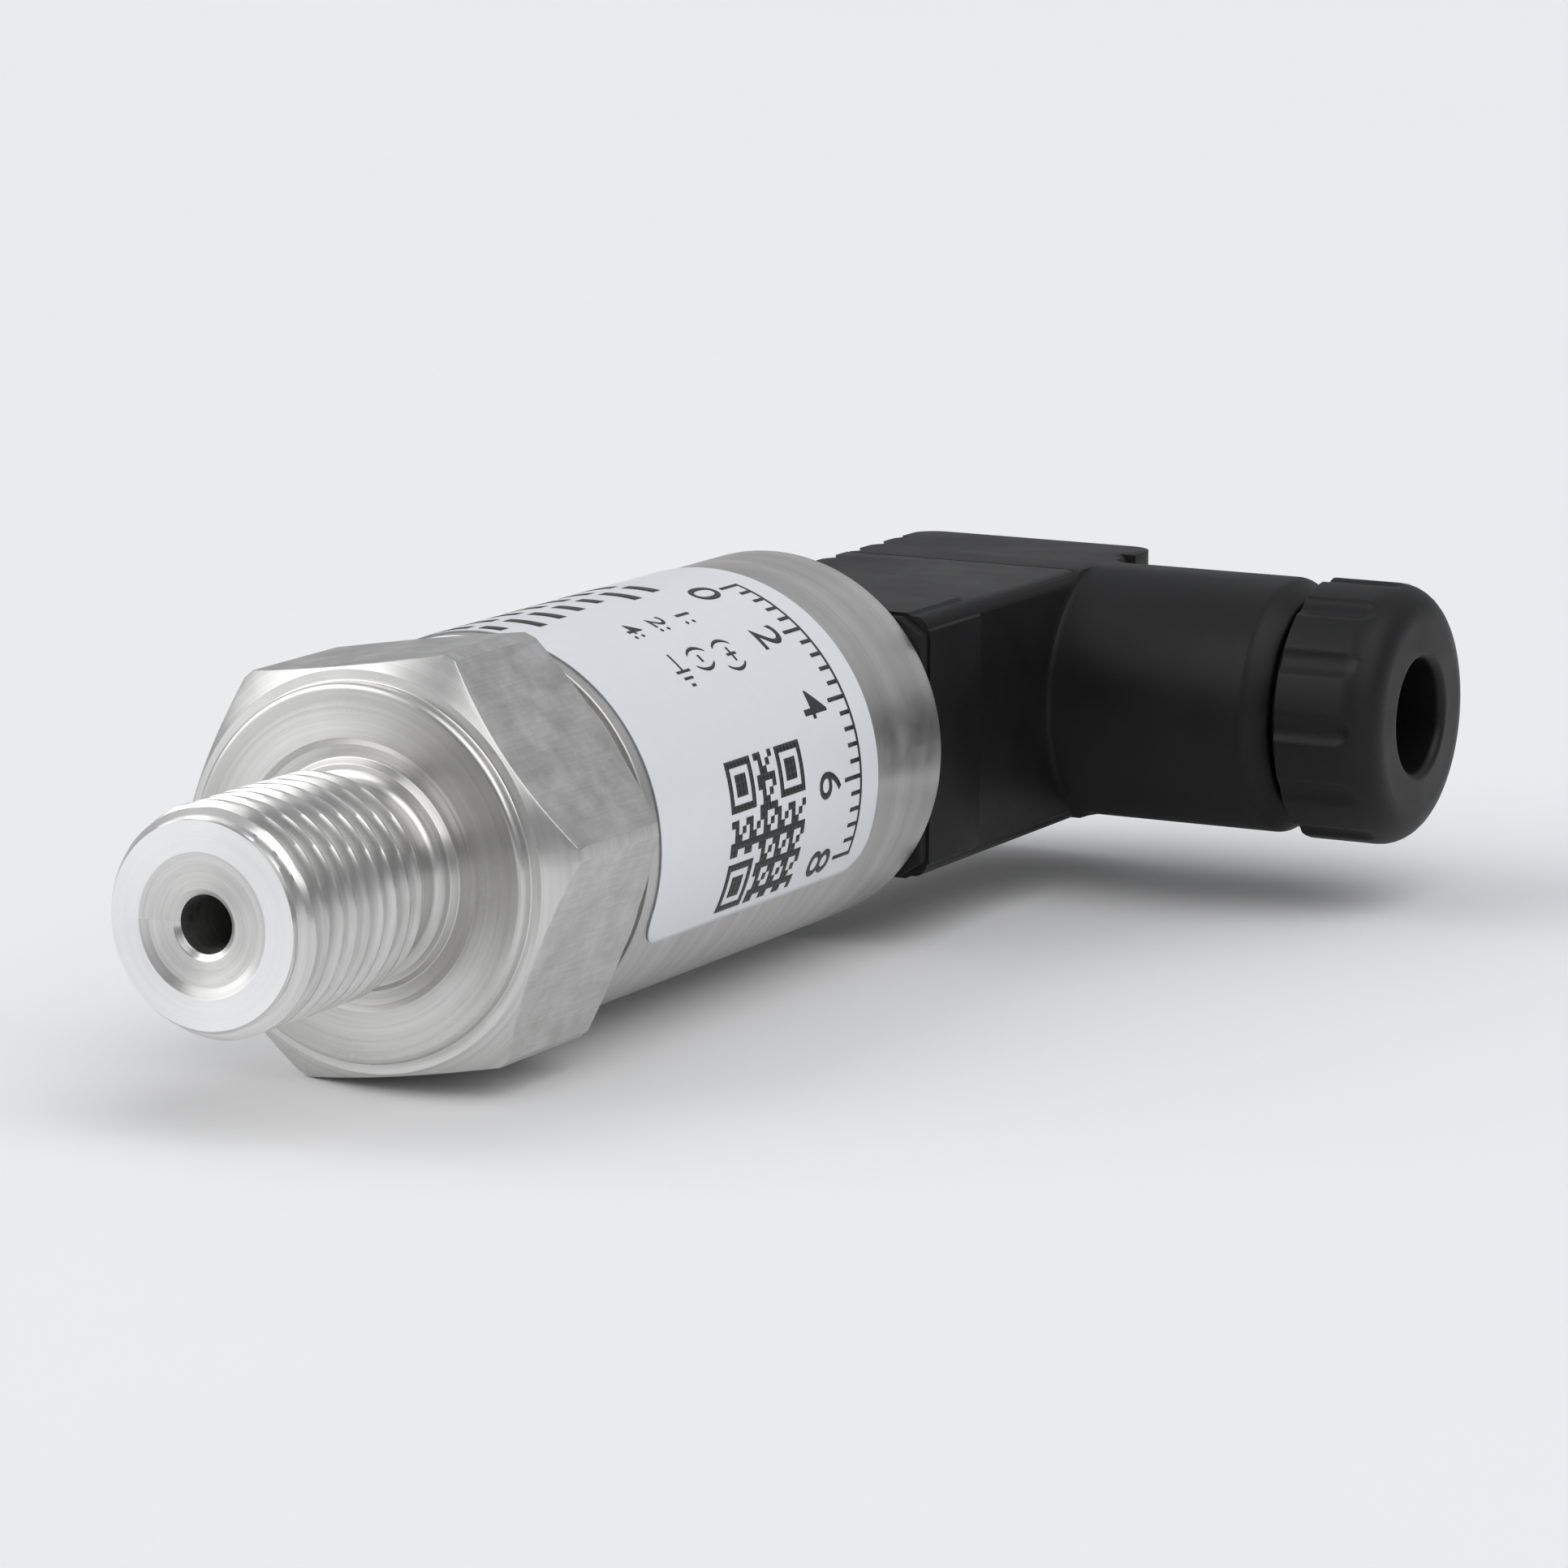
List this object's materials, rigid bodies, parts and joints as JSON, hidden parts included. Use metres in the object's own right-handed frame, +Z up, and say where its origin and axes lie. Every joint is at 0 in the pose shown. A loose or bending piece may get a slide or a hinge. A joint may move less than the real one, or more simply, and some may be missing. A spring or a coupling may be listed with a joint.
{
  "type": "pressure transmitter",
  "caption": "Compact pressure transmitter: threaded hexagon process connection, round steel housing with a wrap-round label, and a right-angle screw-locked plug with a cable gland.",
  "frame": {"origin": "on the process thread's axis, at the middle of its full-form length", "axes": "+Y from the threaded end along the housing to the plug; +X along the cable outlet; +Z up with the cable outlet level"},
  "size_m": [0.0489, 0.1069, 0.0268],
  "materials": {
    "turned_steel": "turned and milled stainless steel",
    "tube_steel": "fine turned stainless tube",
    "label_foil": "satin white foil, thin grey edge",
    "black_plastic": "fine moulded matt black",
    "black_rubber": "moulded rubber",
    "white_ceramic": "ground ceramic",
    "board_green": "solder resist",
    "component_black": "moulded packages",
    "tinned_wire": "tinned",
    "tinned_contact": "tinned brass",
    "plated_screw": "zinc plated",
    "brass": "turned brass"
  },
  "bodies": {
    "sensor": {"process_connection": "turned_steel", "cell_seal": "black_rubber", "pressure_cell": "white_ceramic", "cell_clamp_ring": "turned_steel", "cell_leads": "tinned_wire", "circuit_board": "board_green", "board_components": "component_black", "housing_tube": "tube_steel", "type_label": "label_foil", "connector_base": "black_plastic", "base_seal": "black_rubber", "contact_pins": "tinned_contact", "earth_pin": "tinned_contact", "threaded_insert": "brass"},
    "plug": {"plug_gasket": "black_rubber", "plug_hood": "black_plastic", "terminal_insert": "black_plastic", "socket_contacts": "tinned_contact", "earth_contact": "tinned_contact", "terminal_screws": "plated_screw", "cable_grommet": "black_rubber"},
    "washer": {"screw_washer": "black_rubber"},
    "screw": {"centre_screw": "plated_screw"},
    "thrust_ring": {"gland_ring": "black_plastic"},
    "nut": {"gland_nut": "black_plastic"}
  },
  "joints": [
    {"name": "plug_pull", "type": "slide", "parent": "sensor", "child": "plug", "axis": [0, 1, 0], "range_m": [0, 0.03]},
    {"name": "screw_travel", "type": "slide", "parent": "plug", "child": "washer", "axis": [0, 1, 0], "range_m": [0, 0.0036]},
    {"name": "screw_turn", "type": "hinge", "parent": "washer", "child": "screw", "pos_m": [0, 0.097, 0], "axis": [0, 1, 0], "range_deg": [0, 2881]},
    {"name": "gland_travel", "type": "slide", "parent": "plug", "child": "thrust_ring", "axis": [1, 0, 0], "range_m": [0, 0.006]},
    {"name": "gland_turn", "type": "hinge", "parent": "thrust_ring", "child": "nut", "pos_m": [0.03, 0.09098, 0], "axis": [1, 0, 0], "range_deg": [0, 1441]}
  ],
  "couplings": [
    {"joint": "screw_turn", "follows": "screw_travel", "rad_per_m": 13963},
    {"joint": "gland_turn", "follows": "gland_travel", "rad_per_m": 4188.8}
  ]
}
